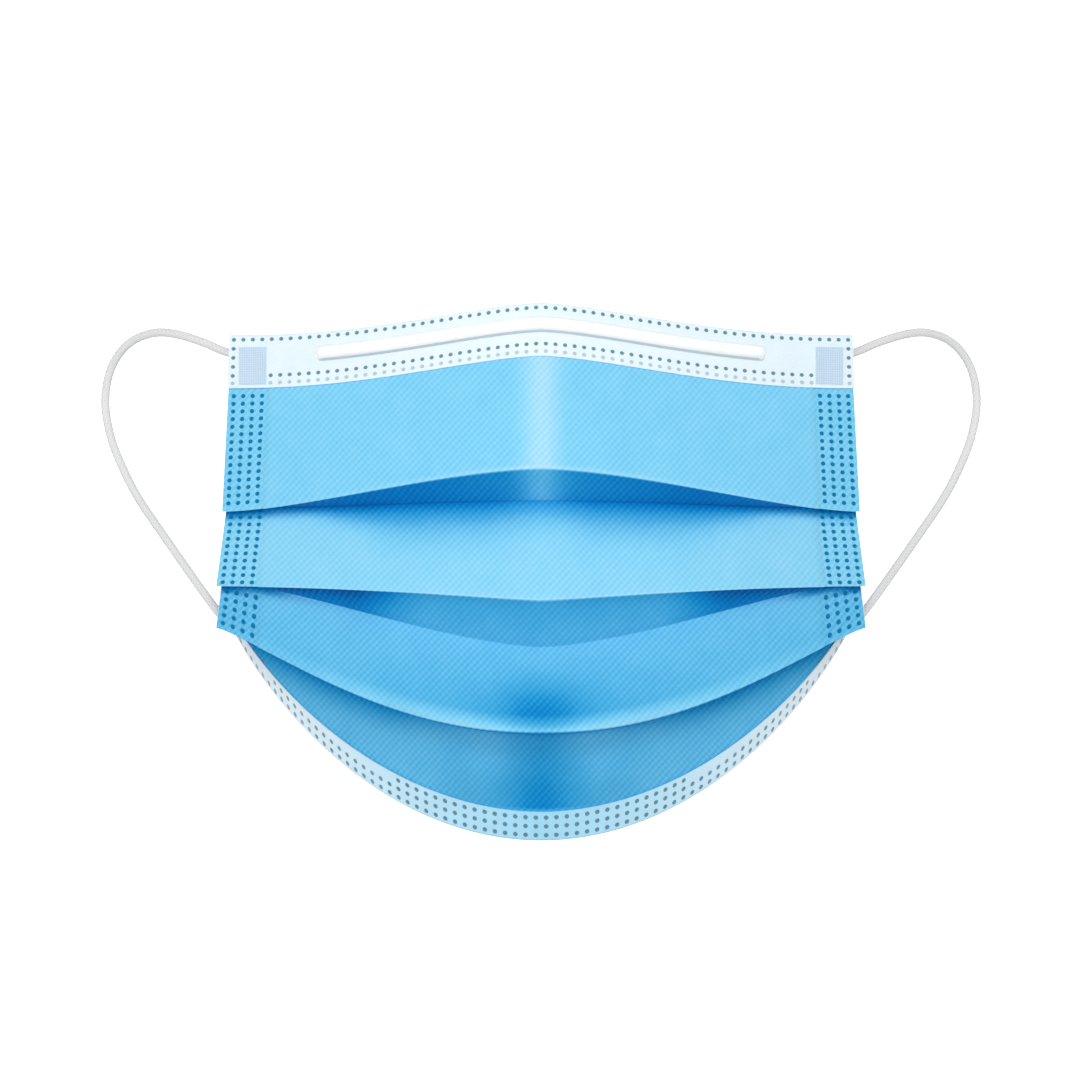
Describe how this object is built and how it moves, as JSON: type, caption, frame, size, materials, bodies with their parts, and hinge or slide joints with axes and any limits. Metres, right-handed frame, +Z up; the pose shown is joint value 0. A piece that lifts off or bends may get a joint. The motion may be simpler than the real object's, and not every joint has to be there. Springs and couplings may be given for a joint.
{
  "type": "surgical face mask",
  "caption": "Opened pleated face mask with white bindings, a nose strip and two ear loops.",
  "frame": {"origin": "nose seat: the inner face of the top binding at its centre, where the mask bears on the bridge of the nose", "axes": "+Z up; +X to the right of a viewer who looks at the outside of the mask; the outside faces -Y and the wearer's face lies towards +Y"},
  "size_m": [0.2244, 0.0895, 0.137],
  "materials": {
    "sheet_fabric": "sky blue spun-bonded nonwoven with fine diagonal embossing, pressed dots at the sides",
    "binding_fabric": "white nonwoven binding with rows of pressed dots",
    "strip_cover": "smooth white cover pressed over the nose wire",
    "weld_pad": "pale blue embossed ultrasonic weld",
    "ear_elastic": "soft round knitted elastic, light grey"
  },
  "bodies": {
    "root": {"mask_sheet": "sheet_fabric", "top_binding": "binding_fabric", "bottom_binding": "binding_fabric", "nose_strip": "strip_cover", "weld_pad_left": "weld_pad", "weld_pad_right": "weld_pad", "ear_loop_left": "ear_elastic", "ear_loop_right": "ear_elastic"}
  },
  "joints": []
}
